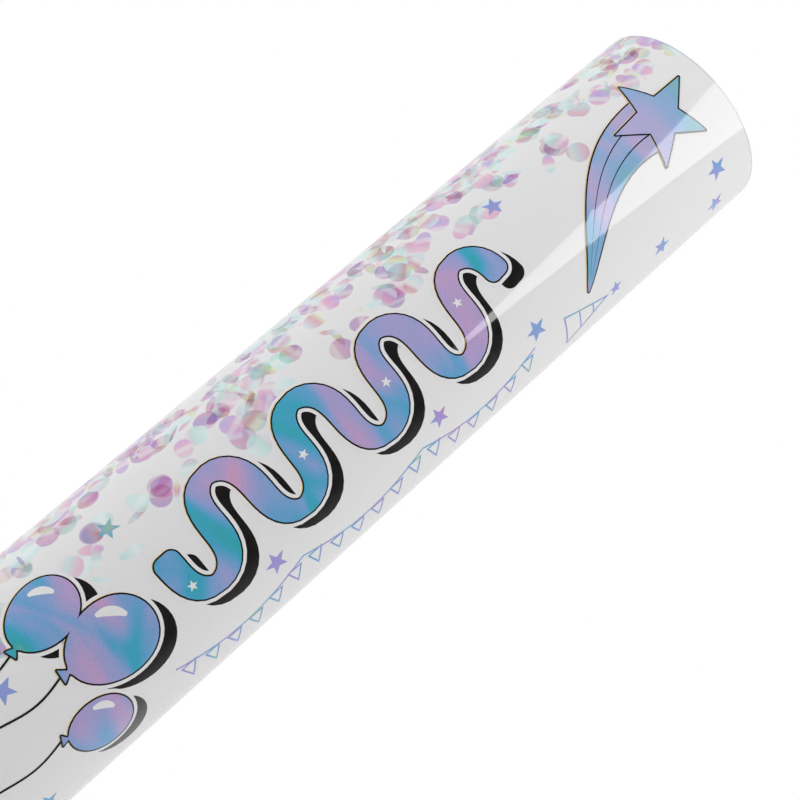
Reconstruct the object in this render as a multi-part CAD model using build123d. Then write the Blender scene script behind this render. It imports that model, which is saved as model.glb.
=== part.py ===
from build123d import *
import os
from math import asin, cos, degrees, hypot, pi, radians, sin

# Twist-action confetti popper. A printed card barrel turns on a handle that holds a bottle of
# compressed air. A turn of the handle lifts a plug out of the bottle's neck, and the air drives
# the wad, the confetti and the closing disc out of the muzzle.
# The popper stands on its base: its axis is +Z, the origin is at the centre of the base, and all
# sizes are in millimetres.

# Tubes and printed wraps
BARREL_LENGTH = 291.6
HANDLE_LENGTH = 105.0
TUBE_WALL = 1.6
WRAP_THICKNESS = 0.2
TWIST_GAP = 0.4

# Fits
GLUE_GAP = 0.05
TURN_GAP = 0.06
PIN_GAP = 0.15
FREE_GAP = 0.3
CUT_OVERRUN = 2.0

# Base cap
FOOT_THICKNESS = 3.0
FOOT_ROUND = 0.8
FOOT_RING_WIDTH = 5.0
FOOT_HOLLOW_DEPTH = 0.8
SKIRT_LENGTH = 15.0
SKIRT_WALL = 1.8
CRADLE_RIB_COUNT = 8
CRADLE_RIB_WIDTH = 1.6
CRADLE_RIB_DEPTH = 2.05

# Air bottle, its pad and its filling plug
PAD_THICKNESS = 4.0
BOTTLE_DIAMETER = 38.0
BOTTLE_WALL = 0.9
BOTTLE_EDGE_RADIUS = 4.0
BOTTLE_DOME_RISE = 3.0
SHOULDER_HEIGHT = 9.0
NECK_DIAMETER = 18.8
NECK_LENGTH = 8.0
BEAD_WIDTH = 1.2
BEAD_HEIGHT = 3.0
FILL_HOLE_DIAMETER = 5.0
FILL_HEAD_DIAMETER = 8.0
FILL_HEAD_THICKNESS = 1.2
FILL_BULB_DIAMETER = 6.4
FILL_BULB_LENGTH = 3.0

# Valve seat, gasket and ferrule on the bottle's neck
GASKET_THICKNESS = 1.2
SEAT_WALL = 2.45
SEAT_LENGTH = 12.0
SEAT_FLANGE_THICKNESS = 2.5
FERRULE_THICKNESS = 0.8
FERRULE_LIP_WIDTH = 2.85

# Release plug, its seal and its cross pin
PLUG_TRAVEL = 6.0
PLUG_LENGTH = 7.0
PLUG_SETBACK = 0.7
PLUG_STEM_DIAMETER = 8.0
PLUG_STEM_RISE = 6.0
TAIL_LENGTH = 10.0
TAIL_ARM_WIDTH = 2.4
SEAL_SECTION = 1.8
SEAL_DEPTH = 3.0
SEAL_GAP = 0.2
PIN_DIAMETER = 3.0
PIN_SETBACK = 0.2
PIN_CHAMFER = 0.3
PIN_DEPTH = 9.0

# Cam sleeve, keyed to the handle, with helical slots for the pin
TWIST_ANGLE = 120.0
SLOT_STEPS = 12
CAM_BORE_ROOM = 1.6
CAM_WALL = 2.4
CAM_SHANK = 9.0
CAM_FLANGE_EDGE = 1.5
CAM_FLANGE_THICKNESS = 2.5
CAM_CUP_DEPTH = 4.0
CAM_CUP_WALL = 2.0
CAM_LUG_COUNT = 3
CAM_LUG_WIDTH = 5.0
CAM_LUG_REACH = 3.0
CAM_TOP_LIP = 2.0

# Washer and clip that keep the handle on the barrel
WASHER_THICKNESS = 1.0
CLIP_THICKNESS = 1.2
CLIP_WIDTH = 3.8
CLIP_GROOVE_DEPTH = 0.8
CLIP_MOUTH = 6.0
CLIP_EYE_DIAMETER = 1.4

# Handle collar
COLLAR_WALL = 2.6
COLLAR_WEB = 3.0
COLLAR_SETBACK = 0.4

# Breech collar
BREECH_LENGTH = 24.0
BREECH_WALL = 2.2
BREECH_FLOOR = 3.2
GUIDE_WALL = 3.3
GUIDE_RISE = 4.0
SPIGOT_LENGTH = 12.0
SPIGOT_WALL = 1.8
SPIGOT_WINDOW_WIDTH = 6.0
BREECH_RIB_COUNT = 6
BREECH_RIB_WIDTH = 1.6
BREECH_RIB_SETBACK = 1.0

# Diffuser plate
PLATE_THICKNESS = 2.4
PLATE_SKIRT_DEPTH = 4.0
PLATE_SKIRT_WALL = 1.6
INNER_VENT_COUNT = 6
inner_vent_share = 0.155
inner_circle_share = 0.415
OUTER_VENT_COUNT = 12
outer_vent_share = 0.104
outer_circle_share = 0.75

# Wad, confetti and closing disc
WAD_THICKNESS = 8.0
WAD_CHAMFER = 0.8
CARD_THICKNESS = 1.5
DISC_DIAMETER = 14.0
DISC_THICKNESS = 1.5
DISC_LAYER_GAP = 0.7
DISC_LAYERS = 20
DISC_DRIFT = 0.4
DISC_TILT = 9.0
DISC_TILT_SWING = 5.0
DISC_TILT_STEP = 17.0
CLOSING_THICKNESS = 6.0
MUZZLE_RECESS = 5.0

# Radii that follow from the sizes above, from the bottle and its cradle out to the printed wrap
bottle_radius = BOTTLE_DIAMETER / 2
rib_radius = bottle_radius + FREE_GAP
skirt_bore_radius = rib_radius + CRADLE_RIB_DEPTH
seat_radius = skirt_bore_radius + SKIRT_WALL
bore_radius = seat_radius + GLUE_GAP
tube_radius = bore_radius + TUBE_WALL
outer_radius = tube_radius + WRAP_THICKNESS
shot_radius = bore_radius - FREE_GAP

# Radii of the valve and the cam, from the bottle's neck
neck_radius = NECK_DIAMETER / 2
neck_bore_radius = neck_radius - BOTTLE_WALL
bead_radius = neck_radius + BEAD_WIDTH
seat_tube_radius = neck_bore_radius - GLUE_GAP
valve_radius = seat_tube_radius - SEAT_WALL
plug_radius = valve_radius - TURN_GAP
ferrule_radius = bead_radius + GLUE_GAP + FERRULE_THICKNESS
pin_radius = PIN_DIAMETER / 2
cam_bore_radius = valve_radius + CAM_BORE_ROOM
cam_radius = cam_bore_radius + CAM_WALL
cup_bore_radius = ferrule_radius + GLUE_GAP
cam_flange_radius = cup_bore_radius + CAM_CUP_WALL + CAM_FLANGE_EDGE
guide_bore_radius = cam_radius + TURN_GAP
guide_radius = guide_bore_radius + GUIDE_WALL
collar_bore_radius = seat_radius - COLLAR_WALL
spigot_radius = collar_bore_radius - TURN_GAP
breech_bore_radius = seat_radius - BREECH_WALL

# Heights: the bottle takes up the length that the mechanism above it leaves free
z_handle = FOOT_THICKNESS
z_twist = z_handle + HANDLE_LENGTH
z_barrel = z_twist + TWIST_GAP
z_muzzle = z_barrel + BARREL_LENGTH
z_pin = z_twist - PIN_DEPTH
z_cam_flange_top = z_pin - CAM_SHANK
z_cam_flange = z_cam_flange_top - CAM_FLANGE_THICKNESS
z_seat_top = z_cam_flange - FERRULE_THICKNESS
z_seat_flange = z_seat_top - SEAT_FLANGE_THICKNESS
z_lip = z_seat_flange - GASKET_THICKNESS
z_neck = z_lip - NECK_LENGTH
z_shoulder = z_neck - SHOULDER_HEIGHT
z_bottle = z_handle + PAD_THICKNESS
z_web_top = z_cam_flange_top + COLLAR_WEB
z_floor_top = z_barrel + BREECH_FLOOR
z_guide = z_web_top + FREE_GAP
z_guide_top = z_floor_top + GUIDE_RISE
z_washer = z_guide_top + TURN_GAP
z_clip = z_washer + WASHER_THICKNESS
z_cam_top = z_clip + CLIP_THICKNESS + CAM_TOP_LIP
z_plate = z_barrel + BREECH_LENGTH
z_wad = z_plate + PLATE_THICKNESS + TURN_GAP
z_card = z_wad + WAD_THICKNESS
z_charge = z_card + CARD_THICKNESS + FREE_GAP
z_closing = z_muzzle - MUZZLE_RECESS - CLOSING_THICKNESS


def disc(radius, bottom, top):
    """Solid cylinder on the axis between two heights."""
    upright = (Align.CENTER, Align.CENTER, Align.MIN)
    return Pos(0, 0, bottom) * Cylinder(radius, top - bottom, align=upright)


def ring(inner, outer, bottom, top):
    """Tube on the axis between two heights."""
    return disc(outer, bottom, top) - disc(inner, bottom - CUT_OVERRUN, top + CUT_OVERRUN)


def block(inner, outer, width, bottom, top):
    """Radial block along +X between two radii."""
    size = (outer - inner, width, top - bottom)
    upright = (Align.MIN, Align.CENTER, Align.MIN)
    return Pos(inner, 0, bottom) * Box(*size, align=upright)


def around(shape, count):
    """Copies of a shape evenly spaced about the axis."""
    return [Rot(0, 0, turn * 360 / count) * shape for turn in range(count)]


def turned(lines):
    """Solid of revolution about the axis from a closed outline in the XZ plane."""
    return revolve(make_face(Plane.XZ * lines), axis=Axis.Z)


def base_cap():
    foot = disc(outer_radius, 0, FOOT_THICKNESS)
    foot = fillet(foot.edges().sort_by(Axis.Z)[0], FOOT_ROUND)
    hollow = disc(outer_radius - FOOT_RING_WIDTH, -CUT_OVERRUN, FOOT_HOLLOW_DEPTH)
    z_skirt_top = FOOT_THICKNESS + SKIRT_LENGTH
    skirt = ring(skirt_bore_radius, seat_radius, FOOT_THICKNESS, z_skirt_top)
    rib_root = skirt_bore_radius + SKIRT_WALL / 2
    rib = block(rib_radius, rib_root, CRADLE_RIB_WIDTH, FOOT_THICKNESS, z_skirt_top)
    return foot - hollow + skirt + around(rib, CRADLE_RIB_COUNT)


def bottle_form(inset):
    """Outer form of the bottle drawn in by a wall, up to its lip."""
    radius = bottle_radius - inset
    edge = BOTTLE_EDGE_RADIUS - inset
    neck = neck_radius - inset
    z_base = z_bottle + inset
    dome_top = (0, z_base + BOTTLE_DOME_RISE)
    dome_foot = (radius - edge, z_base)
    side_foot = (radius, z_base + edge)
    side_top = (radius, z_shoulder)
    neck_foot = (neck, z_neck - inset)
    neck_top = (neck, z_lip)
    lines = Curve() + [
        TangentArc(dome_top, dome_foot, tangent=(1, 0)),
        TangentArc(dome_foot, side_foot, tangent=(1, 0)),
        Line(side_foot, side_top),
        TangentArc(side_top, neck_foot, tangent=(0, 1)),
        Polyline(neck_foot, neck_top, (0, z_lip), dome_top),
    ]
    return turned(lines)


def air_bottle():
    bead = ring(neck_bore_radius, bead_radius, z_lip - BEAD_HEIGHT, z_lip)
    fill_hole = disc(FILL_HOLE_DIAMETER / 2, z_bottle, z_shoulder)
    return bottle_form(0) - bottle_form(BOTTLE_WALL) + bead - fill_hole


def fill_plug():
    """Rubber plug whose head and bulb grip the dome of the bottle's base."""
    head_radius = FILL_HEAD_DIAMETER / 2
    stand_radius = bottle_radius - BOTTLE_EDGE_RADIUS
    dome_radius = (stand_radius**2 + BOTTLE_DOME_RISE**2) / (2 * BOTTLE_DOME_RISE)
    dome_drop = head_radius**2 / (2 * dome_radius)
    z_head_top = z_bottle + BOTTLE_DOME_RISE - dome_drop - GLUE_GAP
    z_bulb = z_bottle + BOTTLE_DOME_RISE + BOTTLE_WALL + GLUE_GAP
    z_bulb_top = z_bulb + FILL_BULB_LENGTH
    head = disc(head_radius, z_head_top - FILL_HEAD_THICKNESS, z_head_top)
    shank = disc(FILL_HOLE_DIAMETER / 2 - GLUE_GAP, z_head_top, z_bulb)
    bulb = disc(FILL_BULB_DIAMETER / 2, z_bulb, z_bulb_top)
    return head + shank + bulb


def valve_seat():
    tube = ring(valve_radius, seat_tube_radius, z_seat_top - SEAT_LENGTH, z_seat_top)
    flange = ring(valve_radius, bead_radius, z_seat_flange, z_seat_top)
    return tube + flange


def crimp_ferrule():
    """Thin ring curled over the seat's flange and under the neck's bead."""
    z_curl_top = z_lip - BEAD_HEIGHT - GLUE_GAP
    z_curl = z_curl_top - FERRULE_THICKNESS
    shell = ring(bead_radius + GLUE_GAP, ferrule_radius, z_curl, z_cam_flange)
    lip = ring(ferrule_radius - FERRULE_LIP_WIDTH, ferrule_radius, z_seat_top, z_cam_flange)
    curl = ring(neck_radius + GLUE_GAP, ferrule_radius, z_curl, z_curl_top)
    return shell + lip + curl


def seal_height():
    return z_seat_top - SEAL_DEPTH


def release_plug():
    z_plug_top = z_seat_top - PLUG_SETBACK
    z_plug = z_plug_top - PLUG_LENGTH
    z_stem_top = z_pin + PLUG_STEM_RISE
    z_tail = z_plug - TAIL_LENGTH
    body = disc(plug_radius, z_plug, z_plug_top)
    stem = disc(PLUG_STEM_DIAMETER / 2, z_plug_top, z_stem_top)
    arm = block(-plug_radius, plug_radius, TAIL_ARM_WIDTH, z_tail, z_plug)
    tail = (arm + Rot(0, 0, 90) * arm) & disc(plug_radius, z_tail, z_plug)
    groove_radius = plug_radius - SEAL_SECTION - GLUE_GAP
    groove_reach = SEAL_SECTION / 2 + SEAL_GAP
    z_groove = seal_height() - groove_reach
    z_groove_top = seal_height() + groove_reach
    groove = ring(groove_radius, plug_radius + CUT_OVERRUN, z_groove, z_groove_top)
    pin_hole = Pos(0, 0, z_pin) * Rot(0, 90, 0) * Cylinder(pin_radius + GLUE_GAP, 2 * guide_radius)
    return body + stem + tail - groove - pin_hole


def plug_o_ring():
    section_radius = SEAL_SECTION / 2
    return Pos(0, 0, seal_height()) * Torus(plug_radius - section_radius, section_radius)


def cross_pin():
    length = 2 * (guide_radius - PIN_SETBACK)
    pin = Cylinder(pin_radius, length)
    pin = chamfer(pin.edges().filter_by(GeomType.CIRCLE), PIN_CHAMFER)
    return Pos(0, 0, z_pin) * Rot(0, 90, 0) * pin


def helical_slot(start):
    """Path of the cross pin through the cam sleeve as the sleeve turns under it."""
    rise = PLUG_TRAVEL / radians(TWIST_ANGLE)
    height = PIN_DIAMETER * hypot(1, rise / cam_bore_radius) + 2 * PIN_GAP
    run_out = degrees(asin((pin_radius + PIN_GAP) / cam_bore_radius))
    inner = cam_bore_radius - CUT_OVERRUN
    outer = cam_radius + CUT_OVERRUN
    sections = []
    for step in range(SLOT_STEPS + 1):
        turn = -run_out + step * (TWIST_ANGLE + 2 * run_out) / SLOT_STEPS
        azimuth = radians(start - turn)
        outward = Vector(cos(azimuth), sin(azimuth), 0)
        level = z_pin + rise * radians(turn)
        plane = Plane(origin=(0, 0, level), x_dir=outward, z_dir=outward.cross(Vector(0, 0, 1)))
        sections.append(plane * Pos((inner + outer) / 2, 0) * Rectangle(outer - inner, height))
    return loft(sections, ruled=True)


def cam_sleeve():
    tube = ring(cam_bore_radius, cam_radius, z_cam_flange, z_cam_top)
    flange = ring(cam_bore_radius, cam_flange_radius, z_cam_flange, z_cam_flange_top)
    lug_root = cam_flange_radius - CAM_LUG_REACH
    lug_tip = cam_flange_radius + CAM_LUG_REACH
    lug = block(lug_root, lug_tip, CAM_LUG_WIDTH, z_cam_flange, z_cam_flange_top)
    cup_radius = cup_bore_radius + CAM_CUP_WALL
    cup = ring(cup_bore_radius, cup_radius, z_cam_flange - CAM_CUP_DEPTH, z_cam_flange)
    groove_radius = cam_radius - CLIP_GROOVE_DEPTH
    z_groove = z_clip - GLUE_GAP
    z_groove_top = z_clip + CLIP_THICKNESS + GLUE_GAP
    groove = ring(groove_radius, cam_radius + CUT_OVERRUN, z_groove, z_groove_top)
    slots = [helical_slot(start) for start in (0, 180)]
    return tube + flange + around(lug, CAM_LUG_COUNT) + cup - groove - slots


def thrust_washer():
    return ring(cam_radius + GLUE_GAP, guide_radius, z_washer, z_clip)


def retaining_clip():
    """Open spring ring in the cam sleeve's groove, with an eye at each end."""
    inner = cam_radius - CLIP_GROOVE_DEPTH + GLUE_GAP
    outer = inner + CLIP_WIDTH
    z_top = z_clip + CLIP_THICKNESS
    z_cut = z_clip - CUT_OVERRUN
    z_cut_top = z_top + CUT_OVERRUN
    mouth = block(0, outer + CUT_OVERRUN, CLIP_MOUTH, z_cut, z_cut_top)
    eye_radius = CLIP_WIDTH / 2
    eye_x = inner + eye_radius
    eye_y = CLIP_MOUTH / 2 + eye_radius
    places = [Pos(eye_x, side * eye_y, 0) for side in (-1, 1)]
    eyes = [place * disc(eye_radius, z_clip, z_top) for place in places]
    hole = disc(CLIP_EYE_DIAMETER / 2, z_cut, z_cut_top)
    holes = [place * hole for place in places]
    clip = ring(inner, outer, z_clip, z_top) - mouth + eyes
    return clip - disc(inner, z_cut, z_cut_top) - holes


def handle_collar():
    wall = ring(collar_bore_radius, seat_radius, z_cam_flange, z_twist - COLLAR_SETBACK)
    web = ring(cam_radius + FREE_GAP, seat_radius, z_cam_flange, z_web_top)
    recess = disc(cam_flange_radius + GLUE_GAP, z_cam_flange - CUT_OVERRUN, z_cam_flange_top)
    notch_tip = cam_flange_radius + CAM_LUG_REACH + GLUE_GAP
    notch_width = CAM_LUG_WIDTH + 2 * GLUE_GAP
    notch = block(0, notch_tip, notch_width, z_cam_flange - CUT_OVERRUN, z_cam_flange_top)
    return wall + web - recess - around(notch, CAM_LUG_COUNT)


def breech_collar():
    """Collar in the barrel: sleeve, floor, guide tube for the pin and spigot in the handle."""
    sleeve = ring(breech_bore_radius, seat_radius, z_barrel, z_plate)
    floor = ring(guide_bore_radius, seat_radius, z_barrel, z_floor_top)
    guide = ring(guide_bore_radius, guide_radius, z_guide, z_guide_top)
    spigot = ring(spigot_radius - SPIGOT_WALL, spigot_radius, z_barrel - SPIGOT_LENGTH, z_barrel)
    rib_root = guide_radius - GUIDE_WALL / 2
    rib_tip = breech_bore_radius + BREECH_WALL / 2
    rib = block(rib_root, rib_tip, BREECH_RIB_WIDTH, z_floor_top, z_guide_top - BREECH_RIB_SETBACK)
    slot_width = PIN_DIAMETER + 2 * PIN_GAP
    slot_low = z_pin - slot_width / 2
    slot_high = z_pin + PLUG_TRAVEL + slot_width / 2
    slot = block(0, guide_radius + CUT_OVERRUN, slot_width, slot_low, slot_high)
    z_window_top = z_pin + SPIGOT_WINDOW_WIDTH / 2
    z_window = z_barrel - SPIGOT_LENGTH - CUT_OVERRUN
    window = block(guide_radius, seat_radius, SPIGOT_WINDOW_WIDTH, z_window, z_window_top)
    solid = sleeve + floor + guide + spigot + around(rib, BREECH_RIB_COUNT)
    return solid - around(slot, 2) - around(window, 2)


def vents(count, radius, circle_radius):
    """Round holes through the plate on a circle about the axis."""
    hole = disc(radius, z_plate - CUT_OVERRUN, z_plate + PLATE_THICKNESS + CUT_OVERRUN)
    return around(Pos(circle_radius, 0, 0) * hole, count)


def diffuser_plate():
    plate = disc(seat_radius, z_plate, z_plate + PLATE_THICKNESS)
    skirt_radius = breech_bore_radius - GLUE_GAP
    open_radius = skirt_radius - PLATE_SKIRT_WALL
    skirt = ring(open_radius, skirt_radius, z_plate - PLATE_SKIRT_DEPTH, z_plate)
    inner_vents = vents(INNER_VENT_COUNT, inner_vent_share * open_radius, inner_circle_share * open_radius)
    outer_vents = vents(OUTER_VENT_COUNT, outer_vent_share * open_radius, outer_circle_share * open_radius)
    return plate + skirt - inner_vents - outer_vents


def foam_disc(bottom, thickness):
    """Die-cut foam disc that slides in the barrel."""
    foam = disc(shot_radius, bottom, bottom + thickness)
    return chamfer(foam.edges().filter_by(GeomType.CIRCLE), WAD_CHAMFER)


def confetti_discs():
    """Punched discs in loose, leaning piles, round the bore and on its axis where there is room."""
    radius = DISC_DIAMETER / 2
    pitch = DISC_THICKNESS + DISC_LAYER_GAP
    steepest = radians(DISC_TILT + DISC_TILT_SWING)
    z_first = z_charge + radius * sin(steepest) + DISC_THICKNESS / 2
    reach = radius + DISC_DRIFT
    pile_radius = shot_radius - reach
    count = int(pi / asin(reach / pile_radius))
    piles = [(2 * pi * turn / count, pile_radius) for turn in range(count)]
    if pile_radius >= 2 * reach:
        piles.append((0, 0))
    paper = Cylinder(radius, DISC_THICKNESS)
    solids = []
    for azimuth, out in piles:
        for layer in range(DISC_LAYERS):
            swing = radians(layer * DISC_TILT_STEP) + azimuth
            x = out * cos(azimuth) + DISC_DRIFT * cos(swing)
            y = out * sin(azimuth) + DISC_DRIFT * sin(swing)
            tilt = DISC_TILT + DISC_TILT_SWING * sin(swing)
            place = Pos(x, y, z_first + layer * pitch) * Rot(0, 0, degrees(2 * azimuth))
            solids.append(place * Rot(0, tilt, 0) * paper)
    return Compound(children=solids)


pieces = {
    "barrel_tube": ring(bore_radius, tube_radius, z_barrel, z_muzzle),
    "barrel_wrap": ring(tube_radius, outer_radius, z_barrel, z_muzzle),
    "breech_collar": breech_collar(),
    "diffuser_plate": diffuser_plate(),
    "handle_tube": ring(bore_radius, tube_radius, z_handle, z_twist),
    "handle_wrap": ring(tube_radius, outer_radius, z_handle, z_twist),
    "base_cap": base_cap(),
    "bottle_pad": disc(bottle_radius, z_handle, z_bottle),
    "air_bottle": air_bottle(),
    "fill_plug": fill_plug(),
    "neck_gasket": ring(neck_bore_radius, bead_radius, z_lip, z_seat_flange),
    "valve_seat": valve_seat(),
    "crimp_ferrule": crimp_ferrule(),
    "handle_collar": handle_collar(),
    "cam_sleeve": cam_sleeve(),
    "thrust_washer": thrust_washer(),
    "retaining_clip": retaining_clip(),
    "release_plug": release_plug(),
    "plug_o_ring": plug_o_ring(),
    "cross_pin": cross_pin(),
    "gas_wad": foam_disc(z_wad, WAD_THICKNESS),
    "wad_card": disc(shot_radius, z_card, z_card + CARD_THICKNESS),
    "confetti_discs": confetti_discs(),
    "closing_disc": foam_disc(z_closing, CLOSING_THICKNESS),
}

os.makedirs("parts", exist_ok=True)
for name, piece in pieces.items():
    export_step(piece, f"parts/{name}.step")
print(f"{len(pieces)} pieces, {z_muzzle:.1f} mm tall, {2 * outer_radius:.1f} mm across")
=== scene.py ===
# %% [markdown]
# # A twist-action confetti popper
#
# The popper is a card tube in glossy printed paper. Its barrel holds confetti behind a foam disc, and its
# handle holds a bottle of air that a twist lets go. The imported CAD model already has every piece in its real
# place, in metres, so this file only dresses it: finer skins over the pieces that show, print on the skins,
# and a real finish on everything else.

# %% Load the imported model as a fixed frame
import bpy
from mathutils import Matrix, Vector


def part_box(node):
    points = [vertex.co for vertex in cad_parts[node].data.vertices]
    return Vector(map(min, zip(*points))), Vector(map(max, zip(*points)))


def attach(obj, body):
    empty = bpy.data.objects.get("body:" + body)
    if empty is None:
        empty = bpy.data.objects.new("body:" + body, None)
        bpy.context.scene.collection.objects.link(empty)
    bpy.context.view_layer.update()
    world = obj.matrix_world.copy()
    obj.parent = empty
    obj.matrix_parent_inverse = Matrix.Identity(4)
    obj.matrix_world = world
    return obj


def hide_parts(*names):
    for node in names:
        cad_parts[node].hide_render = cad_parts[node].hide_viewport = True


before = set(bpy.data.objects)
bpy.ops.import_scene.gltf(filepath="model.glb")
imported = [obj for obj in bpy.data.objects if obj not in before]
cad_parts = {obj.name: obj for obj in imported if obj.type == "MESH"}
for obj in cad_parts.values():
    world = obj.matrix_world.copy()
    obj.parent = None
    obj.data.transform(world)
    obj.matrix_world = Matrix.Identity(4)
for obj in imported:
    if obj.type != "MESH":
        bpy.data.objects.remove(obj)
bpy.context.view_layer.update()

# %% Tools, units and the tube's own measures
import random
from math import atan2, cos, hypot, pi, radians, sin

import bmesh
import bpy
from mathutils import Matrix, Vector, noise

MM = 0.001
scene = bpy.context.scene
scene.view_settings.view_transform = "Standard"


def measured(node):
    """Radius, bottom and top of a round CAD node, in millimetres."""
    low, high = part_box(node)
    return high.x / MM, low.z / MM, high.z / MM


RADIUS, SEAM, MUZZLE = measured("barrel_wrap")
HALF_TURN = pi * RADIUS
print(f"tube {2 * RADIUS:.1f} mm across, barrel from {SEAM:.1f} to {MUZZLE:.1f} mm up")

# %% [markdown]
# ## The camera
#
# A cylinder's outline in a photograph fixes the camera: the two straight sides give the axis, and the curve of
# the muzzle gives the distance. That fit says where the middle of the muzzle lies from the camera, and how far
# the axis is turned in the picture and tilted away from it. The tube stands upright in this scene, so the
# camera is put where it sees the tube as the photograph does, rolled to one side.

# %% Camera from the fitted cylinder
FOCAL_LENGTH, PICTURE_WIDTH = 1788.46, 800
MUZZLE_SEEN = Vector((69.97, -71.45, 455.62)) * MM
AXIS_TURN, AXIS_TILT = 0.721892, 0.337416

along = Vector((cos(AXIS_TURN) * cos(AXIS_TILT), -sin(AXIS_TURN) * cos(AXIS_TILT), sin(AXIS_TILT)))
away = (MUZZLE_SEEN - along * MUZZLE_SEEN.dot(along)).normalized()
to_world = Matrix((away.cross(along), away, along))
station = Vector((0, 0, MUZZLE * MM)) - to_world @ MUZZLE_SEEN
camera = bpy.data.objects.new("camera", bpy.data.cameras.new("camera"))
camera.data.sensor_width = 36
camera.data.lens = FOCAL_LENGTH * camera.data.sensor_width / PICTURE_WIDTH
camera.data.clip_start = 0.01
# The fit counts down the picture and away from the camera; Blender's camera counts up and looks along -Z.
camera.matrix_world = Matrix.Translation(station) @ (to_world @ Matrix.Diagonal((1, -1, -1))).to_4x4()
scene.collection.objects.link(camera)
scene.camera = camera
print("camera at", [round(value, 3) for value in station], "lens", round(camera.data.lens, 1), "mm")

# %% [markdown]
# ## Nodes and colours
#
# Every finish below is a node tree. A few helpers keep the trees short: one turns a colour as written on a
# colour card into the linear light that a shader needs, one adds a node, sets it and links its inputs, and the
# rest are short for the nodes that come up most.

# %% Helpers for materials
def linear(code):
    """Linear RGBA of an sRGB hex colour."""
    shares = [int(code[i:i + 2], 16) / 255 for i in (0, 2, 4)]
    return [s / 12.92 if s <= 0.04045 else ((s + 0.055) / 1.055) ** 2.4 for s in shares] + [1.0]


def feed(node, inputs):
    """Sets a node's inputs, or links them to sockets; another node stands for its first output."""
    for socket, value in inputs.items():
        if isinstance(value, bpy.types.Node):
            value = value.outputs[0]
        if isinstance(value, bpy.types.NodeSocket):
            node.id_data.links.new(value, node.inputs[socket])
        else:
            node.inputs[socket].default_value = value


def add(nodes, kind, inputs=(), **settings):
    """Adds a shader node with its settings, and sets or links its inputs."""
    node = nodes.new("ShaderNode" + kind)
    for name, value in settings.items():
        setattr(node, name, value)
    feed(node, dict(inputs))
    return node


def new_material(name):
    """An empty finish: the material, its nodes and its shader."""
    material = bpy.data.materials.new(name)
    material.use_nodes = True
    nodes = material.node_tree.nodes
    print("finish:", name)
    return material, nodes, nodes["Principled BSDF"]


def calc(nodes, operation, *values):
    """One step of arithmetic on numbers and sockets."""
    return add(nodes, "Math", dict(enumerate(values)), operation=operation)


def remap(nodes, value, low, high, start=0.0, end=1.0, curve="LINEAR"):
    """Maps a value from one range to another, and stops at the ends of it."""
    return add(nodes, "MapRange", dict(enumerate((value, low, high, start, end))), interpolation_type=curve)


def blend(nodes, share, under, over, how="MIX"):
    """Lays a share of one colour over another."""
    return add(nodes, "Mix", {0: share, 6: under, 7: over}, data_type="RGBA", blend_type=how).outputs[2]


def colours(nodes, share, stops):
    """The tone that a share picks from a row of (place, hex colour) pairs."""
    ramp = add(nodes, "ValToRGB", {"Fac": share})
    while len(ramp.color_ramp.elements) < len(stops):
        ramp.color_ramp.elements.new(0.5)
    for element, (position, code) in zip(ramp.color_ramp.elements, stops):
        element.position = position
        element.color = linear(code)
    return ramp.outputs["Color"]


def mottle(nodes, pattern, stops):
    """A noise, from its inputs, and the tone that it picks from a row of colours."""
    drift = add(nodes, "TexNoise", pattern)
    return drift, colours(nodes, drift, stops)


PAPER = "edecec"
print("white paper is", [round(value, 3) for value in linear(PAPER)[:3]], "in linear light")

# %% [markdown]
# ## Studio light
#
# The photograph has a white background, and grey that is darkest on the part of the tube that faces the
# camera: light comes from the sides and from above, as in a light tent. One soft box stands out as a bright
# strip that runs along the film from the muzzle and narrows. A long box whose far end recedes gives that shape.

# %% Soft boxes
AIM = Vector((0, 0, 0.3))
LOW_BOX_REACH = 1.25


def soft_box(name, start, end, width, radiance):
    """A rectangular lamp along a line, facing the tube; its level is the brightness of its own surface."""
    start, end = Vector(start), Vector(end)
    middle, along = (start + end) / 2, (end - start).normalized()
    back = middle - AIM
    back = (back - along * back.dot(along)).normalized()
    data = bpy.data.lights.new(name, "AREA")
    data.shape = "RECTANGLE"
    data.size, data.size_y = width, (end - start).length
    data.energy = radiance * pi * data.size * data.size_y
    lamp = bpy.data.objects.new(name, data)
    turned = Matrix((along.cross(back), along, back)).transposed()
    lamp.matrix_world = Matrix.Translation(middle) @ turned.to_4x4()
    scene.collection.objects.link(lamp)
    return lamp


soft_box("strip_box", (0.404, -0.667, 1.071), (7.773, -12.636, 6.312), 1.23, 3.5).visible_diffuse = False
for box in (
    soft_box("left_box", (-1.15, -0.15, 0.05), (-1.15, -0.15, 0.95), 1.0, 2.35),
    soft_box("right_box", (1.15, 0.0, 0.05), (1.15, 0.0, 0.95), 1.0, 0.6),
    soft_box("front_box", (0.0, -0.5, 0.6), (0.0, -0.35, 0.9), 0.4, 2.4),
    soft_box("corner_box", (0.4, -0.4, 0.55), (0.4, -0.3, 0.9), 0.4, 3.3),
    soft_box("back_box", (0.0, 1.3, 0.05), (0.0, 1.3, 0.95), 1.0, 2.4),
):
    box.visible_glossy = False
# Three low strips show only in the gloss, and only to a camera that looks at the tube from level or above.
for turn in (75, 195, 315):
    x, y = LOW_BOX_REACH * sin(radians(turn)), -LOW_BOX_REACH * cos(radians(turn))
    soft_box(f"low_box_{turn}", (x, y, -0.5), (x, y, 0.15), 0.14, 6.0).visible_diffuse = False

# %% [markdown]
# The background is white to the camera and in reflections alone, so it adds no light to the object. In the
# gloss, the room is white behind the tube and dark behind the camera, where no tent stands.

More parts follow.
